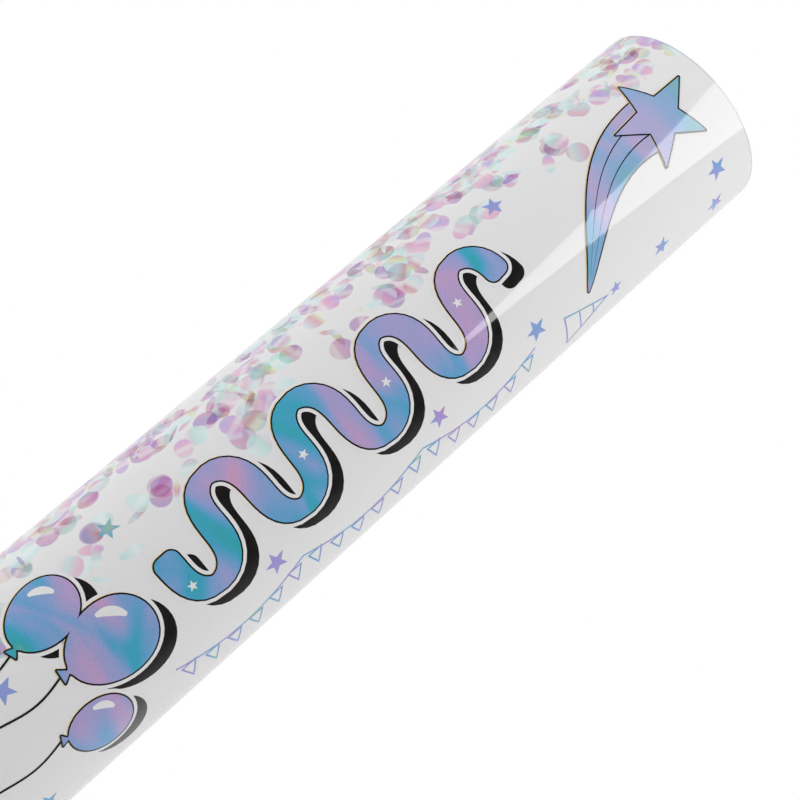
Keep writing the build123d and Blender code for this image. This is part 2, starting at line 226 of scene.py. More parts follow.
# %% White background
world = bpy.data.worlds.new("studio")
world.use_nodes = True
nodes = world.node_tree.nodes
nodes.clear()
ray = add(nodes, "LightPath").outputs
direct = calc(nodes, "MAXIMUM", ray["Is Camera Ray"], ray["Is Transmission Ray"])
seen = calc(nodes, "MAXIMUM", direct, ray["Is Glossy Ray"])
fill = add(nodes, "Background", {"Color": linear("fdfdff"), "Strength": 0.43})
toward = add(nodes, "SeparateXYZ", {0: add(nodes, "TexCoord").outputs["Generated"]}).outputs["Y"]
level = calc(nodes, "MAXIMUM", remap(nodes, toward, -0.6, 0.6, 0.05, 0.95, "SMOOTHSTEP"), direct)
white = add(nodes, "Background", {"Color": linear("ffffff"), "Strength": level})
mixed = add(nodes, "MixShader", {0: seen, 1: fill, 2: white})
add(nodes, "OutputWorld", {"Surface": mixed})
scene.world = world
print("background has", len(nodes), "nodes")

# %% [markdown]
# The floor is a large sheet of paper under the popper. It could end in a curved sweep, but a sheet that fades
# into the white background shows no edge from any side.

# %% Paper floor
def build(name, bm, material):
    """Turns a bmesh into an object at the origin with one finish."""
    mesh = bpy.data.meshes.new(name)
    bm.to_mesh(mesh)
    bm.free()
    mesh.materials.append(material)
    made = bpy.data.objects.new(name, mesh)
    scene.collection.objects.link(made)
    return made


# Matt paper scatters light every way, so it shows the popper's soft shadow and no gloss.
floor_paper, nodes, shader = new_material("matt_white_paper_floor")
place = add(nodes, "TexCoord").outputs["Object"]
_, tone = mottle(nodes, {"Vector": place, "Scale": 40.0}, [(0.3, "f1f1f2"), (0.7, "f4f4f5")])
feed(shader, {"Base Color": tone, "Roughness": 0.9})
reach = add(nodes, "VectorMath", {0: place}, operation="LENGTH").outputs["Value"]
fade = remap(nodes, reach, 0.2, 0.6, curve="SMOOTHSTEP")
clear = add(nodes, "BsdfTransparent")
faded = add(nodes, "MixShader", {0: fade, 1: shader, 2: clear})
feed(nodes["Material Output"], {"Surface": faded})

bm = bmesh.new()
bmesh.ops.create_grid(bm, x_segments=1, y_segments=1, size=4.0)
floor = build("floor", bm, floor_paper)
print("floor is", [round(side, 2) for side in floor.dimensions], "m")

# %% [markdown]
# ## The printed paper under its clear film
#
# The skin of the popper is white paper, printed with scattered foil discs and laminated with a clear gloss film.
# The print follows the tube, so its pattern lives in the unrolled sheet: the arc length round the tube and the
# height on it, in millimetres, both worked out from object coordinates. The arc length has to jump somewhere. It
# jumps where the real sheet has its lapped seam: at one side, clear of the print on the front and on the back.

# %% The unrolled sheet
SEAM_TURN = radians(-106)
SHEET_EDGE = SEAM_TURN * RADIUS


def unrolled(nodes):
    """Arc length round the tube and height on it, in millimetres."""
    place = add(nodes, "TexCoord").outputs["Object"]
    place = add(nodes, "Mapping", {"Vector": place, "Scale": (1, -1, 1 / MM)})
    axes = add(nodes, "SeparateXYZ", {0: place}).outputs
    arc = calc(nodes, "MULTIPLY", calc(nodes, "ARCTAN2", axes["X"], axes["Y"]), RADIUS)
    arc = calc(nodes, "WRAP", arc, SHEET_EDGE + 2 * HALF_TURN, SHEET_EDGE)
    return add(nodes, "CombineXYZ", {0: arc, 1: axes["Z"]})


print(f"the sheet is {2 * HALF_TURN:.1f} mm round and starts at {SHEET_EDGE:.1f} mm from the front")

# %% [markdown]
# The film mirrors the lamps sharply, but it isn't glass: its gloss is a little uneven, and the spiral winding of
# the board below comes through as faint ridges. A bump draws those more cheaply than real relief would.

# %% Gloss of the clear film
FILM_INDEX = 1.49
# Half the height of one ply of the board, and how far the winding climbs for each millimetre round the tube.
PLY_HALF, PLY_CLIMB = 29.45, 0.75


def from_ply_joint(nodes, sheet):
    """Distance up the tube to the nearest joint between two plies, in millimetres."""
    axes = add(nodes, "SeparateXYZ", {0: sheet}).outputs
    climb = calc(nodes, "MULTIPLY_ADD", axes["X"], PLY_CLIMB, axes["Y"])
    return calc(nodes, "PINGPONG", climb, PLY_HALF)


def laminate(nodes, shader, sheet, index=FILM_INDEX):
    """Clear polypropylene film: smooth gloss, and the board's winding shows through it as faint ridges."""
    haze = add(nodes, "TexNoise", {"Vector": sheet, "Scale": 1 / 9.0, "Detail": 2.0})
    gloss = remap(nodes, haze, 0, 1, 0.03, 0.075)
    ridge = remap(nodes, from_ply_joint(nodes, sheet), 0, 2.2, 1, 0, "SMOOTHSTEP")
    swell = add(nodes, "TexNoise", {"Vector": sheet, "Scale": 1 / 26.0, "Detail": 1.0})
    relief = calc(nodes, "MULTIPLY_ADD", ridge, 0.35, swell)
    bump = add(nodes, "Bump", {"Height": relief, "Distance": 0.03 * MM})
    feed(shader, {"Roughness": gloss, "Normal": bump, "IOR": index})


print(f"ridges lie {2 * PLY_HALF:.1f} mm apart up the tube")

# %% [markdown]
# The discs could be cut out and glued on, but on the real popper they are ink, so they are drawn in the colour
# of the paper. Each layer scatters points with a Voronoi texture. Around each point, a turned and squashed
# distance draws a disc that lies flat or shows its edge, and a wandering band says which points get one. Some
# layers tint what is under them, as clear foil does, and some cover it.

# %% Where the printed discs lie
BAND_MIDDLE, BAND_NEAR, BAND_FAR = -29.0, 15.0, 9.0
WANDER_SIZE, CLUMP_SIZE = 15.0, 12.0


def crowding(nodes, middle):
    """Share of the points at a place that get a disc: nearly all in the band, and none outside it."""
    # The band repeats on the other side of the tube, and its near edge wanders.
    wander, clump = [add(nodes, "TexNoise", {"Vector": middle, "Scale": 1 / size, "Detail": 1.0},
                         noise_dimensions="2D") for size in (WANDER_SIZE, CLUMP_SIZE)]
    edge = remap(nodes, wander, 0.34, 0.66, BAND_NEAR - 9, BAND_NEAR + 8)
    off = add(nodes, "SeparateXYZ", {0: middle}).outputs["X"]
    off = calc(nodes, "SUBTRACT", off, BAND_MIDDLE)
    off = calc(nodes, "WRAP", off, HALF_TURN / 2, -HALF_TURN / 2)
    far = calc(nodes, "MULTIPLY_ADD", off, -1, -BAND_FAR)
    off = calc(nodes, "MAXIMUM", calc(nodes, "SUBTRACT", off, edge), far)
    crowd = remap(nodes, off, -6, 3, 0.95, 0)
    # Inside the band the discs lie in clumps, with bare paper between.
    return calc(nodes, "MULTIPLY", crowd, remap(nodes, clump, 0.35, 0.43))


print(f"the band of discs is about {BAND_NEAR + BAND_FAR:.0f} mm wide")

# %% How one printed disc looks
DISC_SIZE = 6.0
DISC_COLOURS = [(0.0, "cbe8e8"), (0.15, "e0f1f0"), (0.27, "c2e6e0"), (0.37, "e3aecb"), (0.47, "bda6e0"),
                (0.57, "dda6d2"), (0.68, "eabccf"), (0.78, "cfe7ec"), (0.89, "d99cab"), (0.96, "e0e4bc")]


def printed_disc(nodes, local, chance, rim):
    """Shape and colour of a disc about its own middle, from its radius and three chances."""
    # The disc is turned, and squashed by the slant at which it is seen.
    angle = calc(nodes, "MULTIPLY", chance["Red"], 40)
    local = add(nodes, "VectorRotate", {"Vector": local, "Angle": angle}, rotation_type="Z_AXIS")
    slant = remap(nodes, chance["Green"], 0, 0.75, 0.14, 1)
    wide = add(nodes, "CombineXYZ", {0: 1.0, 1: slant, 2: 1.0})
    local = add(nodes, "VectorMath", {0: local, 1: wide}, operation="DIVIDE")
    reach = add(nodes, "VectorMath", {0: local}, operation="LENGTH").outputs["Value"]
    shape = remap(nodes, reach, rim * 0.86, rim, 1, 0, "SMOOTHSTEP")
    # One hue lies on each half, as foil shows when it catches the light.
    across = add(nodes, "SeparateXYZ", {0: local}).outputs["X"]
    shift = remap(nodes, across, -rim, rim, -0.12, 0.12)
    hue = calc(nodes, "FRACT", calc(nodes, "MULTIPLY_ADD", chance["Red"], 7.31, shift))
    pastel = colours(nodes, hue, DISC_COLOURS)
    # A pale streak lies off the middle, where foil flashes.
    aside = calc(nodes, "MULTIPLY_ADD", chance["Green"], -1.6 * rim, across)
    aside = calc(nodes, "ABSOLUTE", calc(nodes, "ADD", aside, 0.8 * rim))
    streak = remap(nodes, aside, 0.1 * rim, 0.4 * rim, 0.55, 0, "SMOOTHSTEP")
    return shape, blend(nodes, streak, pastel, linear("eff4f2"))


print("printed discs are", DISC_SIZE, "mm across, in", len(DISC_COLOURS), "pastels")

# %% Printed discs on the paper
DISC_LAYERS = 11
dice = random.Random(11)

# Coated paper under film: a clean, even white, with print that looks wet because the gloss lies over it.
film, nodes, shader = new_material("gloss_laminated_printed_paper")
sheet = unrolled(nodes)
_, ink = mottle(nodes, {"Vector": sheet, "Scale": 2.5, "Detail": 3.0}, [(0.25, "e9e8e8"), (0.75, PAPER)])
for layer in range(DISC_LAYERS):
    cell = 7.2 + 0.25 * layer
    tints = layer % 3 == 0
    lay = {"Location": (dice.uniform(0, 9), dice.uniform(0, 9), 0), "Rotation": (0, 0, dice.uniform(0, pi)),
           "Scale": (1 / cell, 1 / cell, 1)}
    at = add(nodes, "Mapping", {"Vector": sheet, **lay})
    point = add(nodes, "TexVoronoi", {"Vector": at, "Scale": 1.0, "Randomness": 0.55},
                voronoi_dimensions="2D").outputs
    middle = add(nodes, "Mapping", {"Vector": point["Position"], **lay}, vector_type="TEXTURE")
    chance = add(nodes, "SeparateColor", {0: point["Color"]}).outputs
    there = calc(nodes, "LESS_THAN", chance["Blue"], crowding(nodes, middle))
    local = add(nodes, "VectorMath", {0: at, 1: point["Position"]}, operation="SUBTRACT")
    shape, pastel = printed_disc(nodes, local, chance, DISC_SIZE / 2 / cell)
    cover = calc(nodes, "MULTIPLY", calc(nodes, "MULTIPLY", shape, there), 0.8 if tints else 0.76)
    ink = blend(nodes, cover, ink, pastel, "MULTIPLY" if tints else "MIX")
# The cut edge of the film shows as a thin cool line at the muzzle: a painted reflection of that edge, put into
# the paper's colour.
height = add(nodes, "SeparateXYZ", {0: sheet}).outputs["Y"]
cut = remap(nodes, height, MUZZLE - 0.55, MUZZLE - 0.35, 0, 0.6)
# The painted edge reflection is laid over the print here.
ink = blend(nodes, cut, ink, linear("bac8d6"))
feed(shader, {"Base Color": ink})
laminate(nodes, shader, sheet)
print("printed paper has", len(nodes), "nodes")

# %% [markdown]
# ## Round skins
#
# The skins, the card tubes and the foam discs are all round, so each is a profile spun about the axis. A spin
# of many steps gives true smooth reflections, where the CAD's triangles would show as facets. The sharp edges
# get a small bevel afterwards, because no real edge is perfectly sharp and the bevel catches the light.

# %% Spinning and bevelling
SKIN_STEPS = 320


def spun(profile, steps=SKIN_STEPS):
    """Spins a profile of (radius, height) points in millimetres; one that starts on the axis stays open there."""
    bm = bmesh.new()
    verts = [bm.verts.new((r * MM, 0, z * MM)) for r, z in profile]
    edges = [bm.edges.new(pair) for pair in zip(verts, verts[1:])]
    if profile[0][0] > 0:
        edges.append(bm.edges.new((verts[-1], verts[0])))
    bmesh.ops.spin(bm, geom=verts + edges, cent=(0, 0, 0), axis=(0, 0, 1), angle=2 * pi, steps=steps,
                   use_merge=True)
    bmesh.ops.remove_doubles(bm, verts=bm.verts[:], dist=0.001 * MM)
    bmesh.ops.recalc_face_normals(bm, faces=bm.faces[:])
    return bm


def bevel_circle(bm, r, z, offset, segments=3):
    """Rounds the edge that runs round the axis at one radius and height, in millimetres."""
    def lies_there(vert):
        return abs(hypot(*vert.co.xy) - r * MM) < 0.01 * MM and abs(vert.co.z - z * MM) < 0.01 * MM
    edges = [edge for edge in bm.edges if all(lies_there(vert) for vert in edge.verts)]
    bmesh.ops.bevel(bm, geom=edges, offset=offset * MM, affect="EDGES", segments=segments, profile=0.5,
                    material=-1)


def cut_tube(node, wall, edge, at_bore=False, steps=SKIN_STEPS):
    """A cut length of tube in a node's place, with a small round on its outer or its bore edges."""
    outer, bottom, top = measured(node)
    bore = outer - wall
    bm = spun([(bore, bottom), (outer, bottom), (outer, top), (bore, top)], steps)
    for z in (bottom, top):
        bevel_circle(bm, bore if at_bore else outer, z, edge)
    return bm


print(f"{SKIN_STEPS} steps stay within {RADIUS * (1 - cos(pi / SKIN_STEPS)):.4f} mm of a true circle")

# %% Printed skins of barrel and handle
SHEET_THICKNESS, CUT_EDGE = 0.2, 0.08
TUBES = ("barrel", "handle")


def piece(name, bm, body, material, slot, *nodes_replaced):
    """Turns a bmesh into a finished piece that rides on a body and stands for CAD nodes."""
    made = build(name, bm, material)
    made.data.shade_smooth()
    made.data.set_sharp_from_angle(angle=radians(40))
    # Large faces keep their own direction and small bevels take the turn, so that long walls reflect straight.
    made.modifiers.new("weighted_normals", "WEIGHTED_NORMAL").keep_sharp = True
    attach(made, body)
    if nodes_replaced:
        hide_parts(*nodes_replaced)
    print(name, "has", len(made.data.polygons), "faces")
    return made


for body in TUBES:
    bm = cut_tube(body + "_wrap", SHEET_THICKNESS, CUT_EDGE)
    piece(body + "_skin", bm, body, film, "printed_film", body + "_wrap")

# %% [markdown]
# The sheet is wrapped once and glued to itself at one side. Its free edge stands a hair proud, which shows as
# a fine line along the tube. A strip that is spun through a few degrees makes it, tapered so that only its free
# edge has a step.

# %% Lapped seams
LAP_ANGLE = radians(16)
LAP_STEP, LAP_START = 0.1, 0.08
LAP_MARGIN = 0.1


def lapped_seam(node):
    """The free edge of one tube's sheet: nearly flush where it starts, a step high where it ends."""
    _, bottom, top = measured(node)
    bottom, top = bottom + LAP_MARGIN, top - LAP_MARGIN
    corners = [(RADIUS, bottom), (RADIUS + LAP_STEP, bottom), (RADIUS + LAP_STEP, top), (RADIUS, top)]
    bm = bmesh.new()
    verts = [bm.verts.new((r * MM, 0, z * MM)) for r, z in corners]
    edges = [bm.edges.new((verts[i - 1], verts[i])) for i in range(4)]
    bmesh.ops.spin(bm, geom=verts + edges, cent=(0, 0, 0), axis=(0, 0, 1), angle=LAP_ANGLE, steps=24)
    bmesh.ops.holes_fill(bm, edges=bm.edges[:], sides=4)
    for vert in bm.verts:
        share = 1 - atan2(vert.co.y, vert.co.x) / LAP_ANGLE
        reach = hypot(*vert.co.xy)
        lift = reach - RADIUS * MM
        vert.co.xy *= (RADIUS * MM + lift * (LAP_START + (1 - LAP_START) * share)) / reach
    bmesh.ops.rotate(bm, verts=bm.verts[:], cent=(0, 0, 0), matrix=Matrix.Rotation(SEAM_TURN - pi / 2, 3, "Z"))
    bmesh.ops.recalc_face_normals(bm, faces=bm.faces[:])
    return bm


for body in TUBES:
    piece(body + "_lap", lapped_seam(body + "_wrap"), body, film, "printed_film")

# %% [markdown]
# ## The bold print
#
# Over the discs lies a bolder print: a thrown streamer, balloons, stars and a string of flags, filled with a
# shifting rainbow, outlined in black and set off by a black shadow. These shapes need crisp edges, which a
# texture can't give without many nodes, so they are outlines in the unrolled sheet. Each outline is filled, cut
# in narrow strips and rolled round the tube as a layer of ink a few hundredths of a millimetre thick. An
# outline and a white gap come from moving the same outline outwards, as a sticker cutter does.

# %% Rainbow ink
# Ink lies smooth and dense under the film, so it mirrors more than the paper does, and black does so most.
RAINBOW_INDEX, BLACK_INDEX = 1.7, 1.95

# Ink on pastel foil: its colours melt into each other, from pink and violet through blue to sea green.
rainbow, nodes, shader = new_material("rainbow_ink_under_gloss_film")
sheet = unrolled(nodes)
# The foil under the ink was rolled out one way, so its colours lie in slanting streaks.
slanted = add(nodes, "Mapping", {"Vector": sheet, "Rotation": (0, 0, 0.5), "Scale": (1 / 27, 1 / 13, 1)})
_, wash = mottle(nodes, {"Vector": slanted, "Scale": 1.0, "Detail": 1.5, "Distortion": 0.7}, [
    (0.27, "d9a9cf"), (0.34, "c8acd8"), (0.41, "b4addd"), (0.48, "99afe0"), (0.55, "74b0de"), (0.62, "4db3d3"),
    (0.69, "41b5bd"), (0.76, "87c0a5")])
_, speck = mottle(nodes, {"Vector": sheet, "Scale": 3.2, "Detail": 2.0}, [(0.3, "e8e8eb"), (0.7, "ffffff")])
wash = blend(nodes, 1, wash, speck, "MULTIPLY")
# The ink thins out on the last stretch before the muzzle, and the pale foil shows more.
height = add(nodes, "SeparateXYZ", {0: sheet}).outputs["Y"]
thin = remap(nodes, height, MUZZLE - 70, MUZZLE - 45, 0, 0.34)
wash = blend(nodes, thin, wash, linear("c9c6e2"))
feed(shader, {"Base Color": wash})
laminate(nodes, shader, sheet, RAINBOW_INDEX)

# %% Plain inks
def plain_ink(name, size, stops, index=FILM_INDEX):
    """Ink of nearly one colour under the film, with the slight drift that a press gives."""
    material, nodes, shader = new_material(name)
    sheet = unrolled(nodes)
    feed(shader, {"Base Color": mottle(nodes, {"Vector": sheet, "Scale": 1 / size, "Detail": 2.0}, stops)[1]})
    laminate(nodes, shader, sheet, index)
    return material


# Yellow shows only as a warm hairline, black as deep gloss, and the line ink shimmers along each line.
yellow_ink = plain_ink("yellow_ink_under_gloss_film", 3.0, [(0.3, "ecc877"), (0.7, "f0d48f")])
black_ink = plain_ink("black_ink_under_gloss_film", 3.0, [(0.3, "141211"), (0.7, "201d1c")], BLACK_INDEX)
bare_paper = plain_ink("bare_paper_under_gloss_film", 2.0, [(0.3, "e9e8e8"), (0.7, PAPER)])
line_ink = plain_ink("pastel_line_ink_under_gloss_film", 12.0, [
    (0.3, "bd93d0"), (0.41, "a79cd8"), (0.5, "8fa4dd"), (0.59, "6eafd6"), (0.7, "9bbfb2")])

# %% [markdown]
# A drawing is a list of outlines, each a ring of points in millimetres on the sheet. A line becomes an outline
# once it has a width, and an outline grows by moving each side outwards and rounding the corners between them.

# %% From lines to outlines, and how an outline grows
CORNER_STEP = 0.35


def band(line, halves):
    """Outline of a flat band along a line of points, from its half width at each point."""
    left, right = [], []
    for i, here in enumerate(line):
        run = (line[min(i + 1, len(line) - 1)] - line[max(i - 1, 0)]).normalized()
        side = Vector((run.y, -run.x)) * halves[i]
        right.append(here + side)
        left.append(here - side)
    return right + left[::-1]


def grown(outline, distance):
    """The outline moved outwards, with its outer corners rounded."""
    moved = []
    for i, here in enumerate(outline):
        run_in = (here - outline[i - 1]).normalized()
        run_out = (outline[(i + 1) % len(outline)] - here).normalized()
        first, last = Vector((run_in.y, -run_in.x)), Vector((run_out.y, -run_out.x))
        corner = atan2(run_in.cross(run_out), run_in.dot(run_out))
        if corner > CORNER_STEP:
            steps = 2 + int(corner / CORNER_STEP)
            moved += [here + Matrix.Rotation(corner * k / steps, 2) @ first * distance for k in range(steps + 1)]
        else:
            moved.append(here + (first + last) * distance / (1 + first.dot(last)))
    return moved


def stroke(line, halves, rounding=2.0):
    """Outline of a brush stroke: a band with rounded ends."""
    return grown(band(line, [half - rounding for half in halves]), rounding)


print("a straight stroke has", len(stroke([Vector((0, 0)), Vector((0, 9))], [3, 3])), "corners")

# %% Stars, and copies of a drawing
STAR_INNER = 0.42


def shifted(outline, around, up):
    """The outline moved round the tube and up it."""
    return [point + Vector((around, up)) for point in outline]


def both_sides(outlines):
    """The same outlines on the front and the back of the tube."""
    return outlines + [shifted(outline, HALF_TURN, 0) for outline in outlines]


def star(s, z, size, lean=0.0):
    """A five-pointed star about a place on the sheet."""
    corners = []
    for k in range(10):
        turn = lean + pi * k / 5
        corners.append(Vector((s, z)) + Vector((-sin(turn), cos(turn))) * size * (STAR_INNER if k % 2 else 1))
    return corners


print("a star has", len(star(0, 0, 5)), "corners; with an outline it has", len(grown(star(0, 0, 5), 0.4)))

# %% A flat layer of ink, cut in strips
# Thickness of a layer, and width of the strips that let it bend round the tube, in millimetres.
INK, STRIP = 0.02, 1


def flat_layer(outlines, line):
    """A thin layer of filled outlines, or of their lines alone, flat in the unrolled sheet."""
    bm = bmesh.new()
    for outline in outlines:
        bm.faces.new([bm.verts.new((point.x, point.y, 0)) for point in outline])
    bm.normal_update()
    if line:
        filled = bm.faces[:]
        bmesh.ops.inset_individual(bm, faces=filled, thickness=line, use_even_offset=True)
        bmesh.ops.delete(bm, geom=filled, context="FACES")
    bmesh.ops.triangulate(bm, faces=bm.faces[:])
    first = int(min(vert.co.x for vert in bm.verts)) - 1
    last = int(max(vert.co.x for vert in bm.verts)) + 2
    for cut in range(first, last, STRIP):
        bmesh.ops.bisect_plane(bm, geom=bm.verts[:] + bm.edges[:] + bm.faces[:], dist=0.002, plane_co=(cut, 0, 0),
                               plane_no=(1, 0, 0))
    bmesh.ops.dissolve_degenerate(bm, dist=0.002, edges=bm.edges[:])
    bmesh.ops.triangulate(bm, faces=bm.faces[:])
    # All sheets face up before they get their thickness, so that all layers end up facing outwards.
    bm.normal_update()
    bmesh.ops.reverse_faces(bm, faces=[face for face in bm.faces if face.normal.z < 0])
    bmesh.ops.solidify(bm, geom=bm.faces[:], thickness=INK)
    if bm.calc_volume(signed=True) < 0:
        bmesh.ops.reverse_faces(bm, faces=bm.faces[:])
    return bm


print("a layer of ink is", INK, "mm thick, in strips", STRIP, "mm wide")

# %% Rolling a layer round the tube
def rolled(name, outlines, level, body, material, line=0.0):
    """A printed layer, rolled on the tube over the layers below."""
    bm = flat_layer(outlines, line)
    bottom = min(vert.co.z for vert in bm.verts)
    for vert in bm.verts:
        turn = vert.co.x / RADIUS
        reach = RADIUS + vert.co.z - bottom + INK * (level - 0.5)
        vert.co = Vector((reach * sin(turn), -reach * cos(turn), vert.co.y)) * MM
    bm.normal_update()
    made = piece(name, bm, body, material, "printed_film")
    # The ink takes the tube's own roundness, so that reflections run over it without a break.
    normals = []
    for polygon in made.data.polygons:
        for index in polygon.vertices:
            out = Vector((*made.data.vertices[index].co.xy, 0)).normalized()
            facing = polygon.normal.dot(out)
            normals.append(polygon.normal if abs(facing) < 0.7 else out * (1 if facing > 0 else -1))
    made.modifiers.clear()
    made.data.normals_split_custom_set(normals)


print("the lowest layer lies", INK / 2, "mm off the film")

# %% A bold print, from the lowest layer up
OUTLINE = 0.38
SHADOW_GROWTH, SHADOW_SHIFT = 0.35, (3.4, 2.3)
WHITE_GAP = 1.2
MISPRINT = (-0.14, -0.1)


def bold_print(prefix, fills, strings, body, shaded=(), base=0):
    """Shadow, white gap, yellow fringe, black outline and rainbow fill of some outlines."""
    edges = [grown(shape, OUTLINE) for shape in fills]
    if shaded:
        shadows = [shifted(grown(shape, SHADOW_GROWTH), *SHADOW_SHIFT) for shape in shaded]
        rolled(prefix + "_shadow", shadows, 1, body, black_ink)
        rolled(prefix + "_gap", [grown(shape, WHITE_GAP) for shape in shaded], 2, body, bare_paper)
    # The yellow plate is printed a little out of place, as on the real film.
    rolled(prefix + "_fringe", [shifted(edge, *MISPRINT) for edge in edges], base + 3, body, yellow_ink)
    rolled(prefix + "_outline", edges + strings, base + 4, body, black_ink)
    rolled(prefix + "_fill", fills, base + 5, body, rainbow)


print(f"a bold print stands {5.5 * INK:.2f} mm high")

# %% [markdown]
# The streamer swings up the barrel in four waves, and three balloons float below it. Both are plain curves: a
# line whose heading swings to and fro, and an ellipse that draws in towards its knot.

# %% How streamer, balloons and strings are drawn
WAVE_STEPS, BALLOON_STEPS, STRING_STEPS = 36, 44, 30


def streamer(s, z, waves, wave_path, swing, width):
    """Middle line and half widths of a thrown paper streamer, which thins at each bend."""
    line, halves = [Vector((s, z))], []
    for i in range(WAVE_STEPS * waves):
        phase = 2 * pi * i / WAVE_STEPS
        halves.append(width / 2 * (0.66 + 0.34 * abs(cos(phase))))
        turn = swing * cos(phase)
        line.append(line[-1] + Vector((sin(turn), cos(turn))) * wave_path / WAVE_STEPS)
    return line[:-1], halves


def balloon(s, z, size, lean, knot=True):
    """A balloon, round above and drawn in to its knot."""
    corners = []
    for k in range(1, BALLOON_STEPS):
        turn = 2 * pi * k / BALLOON_STEPS - pi / 2
        corners.append(Vector((0.47 * cos(turn) * (1 + 0.1 * sin(turn)), 0.58 * sin(turn))))
    if knot:
        corners += [Vector((-0.02, -0.6)), Vector((-0.09, -0.7)), Vector((0.09, -0.7)), Vector((0.02, -0.6))]
    return [Vector((s, z)) + Matrix.Rotation(lean, 2) @ corner * size for corner in corners]


def balloon_string(s, z, size, lean, length=40.0, sway=1.1, half=0.24):
    """A thin string that hangs in slow waves from a balloon's knot."""
    s, z = s + 0.72 * size * sin(lean), z - 0.72 * size * cos(lean)
    steps = range(STRING_STEPS + 1)
    line = [Vector((s + sway * sin(k / 3.2), z - length * k / STRING_STEPS)) for k in steps]
    return band(line, [half] * len(line))


print("a balloon has", len(balloon(0, 0, 1, 0)), "corners, a string", len(balloon_string(0, 0, 1, 0)))

# %% Streamer and balloons on the barrel
balloons = [(-9.0, 197.0, 15.0, 0.25), (5.0, 204.0, 18.0, -0.1), (18.0, 192.0, 13.0, -0.4)]
ribbon, ribbon_halves = streamer(0.5, 223.0, 4, 52.0, 1.55, 6.2)
fills = [stroke(ribbon, ribbon_halves)] + [balloon(*place) for place in balloons]
strings = [balloon_string(*place) for place in balloons]
shaded = [stroke(ribbon, ribbon_halves)] + [balloon(*place, knot=False) for place in balloons]
bold_print("barrel_print", both_sides(fills), both_sides(strings), "barrel", both_sides(shaded))

# %% Glints on the balloons and stars on the streamer
glints = []
for s, z, size, lean in balloons:
    bow = [Vector((s, z)) + Vector((-cos(k / 12), sin(k / 12))) * 0.34 * size for k in range(2, 15)]
    glints.append(grown(band(bow, [0.04 * size * sin(pi * (k + 1) / 14) for k in range(13)]), 0.35))
glints += [star(*ribbon[k], 1.3, 0.01 * k) for k in (5, 54, 90, 128)]
rolled("barrel_print_glints", both_sides(glints), 6, "barrel", bare_paper)

# %% [markdown]
# Near the muzzle flies a shooting star. Its tail is three stripes beside one curve, each drawn out to a point,
# and the star lies over the stripes' blunt ends.

# %% A shooting star that flies towards the muzzle
TAIL_HALF, TAIL_POINT = 7.4, 0.15
TAIL_STEPS = 32


def tail(start, bend, end, inner, outer):
    """One stripe of a shooting star's tail, between two shares of its half width, drawn out to a point."""
    start, bend, end = Vector(start), Vector(bend), Vector(end)
    sides = [[], []]
    for k in range(TAIL_STEPS + 1):
        t = k / TAIL_STEPS
        here = start.lerp(bend, t).lerp(bend.lerp(end, t), t)
        run = (bend - start).lerp(end - bend, t).normalized()
        half = TAIL_HALF * (1 - t) ** 0.75 + TAIL_POINT
        for side, share in zip(sides, (inner, outer)):
            side.append(here + Vector((run.y, -run.x)) * half * share)
    return sides[1] + sides[0][::-1]


path = (-3.0, 381.0), (-7.0, 358.0), (19.0, 341.0)
tails = [tail(*path, inner, inner + 0.6) for inner in (-0.95, -0.3, 0.35)]
bold_print("comet_tail", both_sides(tails), [], "barrel")
bold_print("comet_star", both_sides([star(-3.0, 382.0, 12.5, 0.35)]), [], "barrel", base=3)

# %% [markdown]
# Between the bold shapes lie small plain stars, and at one side a string of flags and a party hat in thin lines.
# A closed shape gets its line by an inset, and an open one by giving a row of points a width.

# %% Small stars and line drawings
LINE = 0.42
SAG, PIN_SPACING, PIN_STEPS = 4.0, 37.0, 24
small_stars = [(17.0, 242.0, 3.0), (-14.0, 219.0, 2.8), (17.0, 292.0, 2.8), (17.0, 324.0, 3.1),
               (17.0, 388.0, 3.2), (27.0, 386.0, 2.9), (-2.0, 181.0, 3.1), (26.0, 174.0, 2.9),
               (25.0, 366.0, 2.8), (-13.0, 335.0, 2.7)]
solid = [star(s, z, size, 0.4 * s) for s, z, size in small_stars]

hat = [Vector((20.0, 332.0)), Vector((30.0, 332.0)), Vector((25.0, 347.0))]
hat_stripes = [[Vector((21.7, 337.0)), Vector((28.3, 337.0))], [Vector((23.2, 341.5)), Vector((26.8, 341.5))]]
hat_star = star(25.0, 349.4, 2.2, 0.3)
# The string sags between four pins.
bunting = [Vector((21.0 + SAG * abs(sin(pi * k / PIN_STEPS)), 211.0 + PIN_SPACING * k / PIN_STEPS))
           for k in range(3 * PIN_STEPS + 1)]
flag = Vector((0.2, -2.2)), Vector((5.4, 0)), Vector((0.2, 2.2))
flags = [[knot + corner for corner in flag] for knot in bunting[2::4]]

lines = [band(line, [LINE / 2] * len(line)) for line in hat_stripes + [bunting]]
rolled("barrel_print_stars", both_sides(solid + [hat_star] + lines), 1, "barrel", line_ink)
rolled("barrel_print_flags", both_sides([hat] + flags), 2, "barrel", line_ink, line=LINE)

# %% [markdown]
# The handle turns a third of a turn to fire, so it carries a pair of bent arrows that point the way it turns.

# %% Twist arrows on the handle
def arrow(s, z, length, width):
    """A block arrow that points round the tube, the way the handle turns."""
    half, barb, neck = width / 2, width, length / 2 - width * 1.3
    corners = [(-length / 2, -half), (neck, -half), (neck, -barb), (length / 2, 0), (neck, barb), (neck, half),
               (-length / 2, half)]
    return [Vector((s + x, z + y)) for x, y in corners]


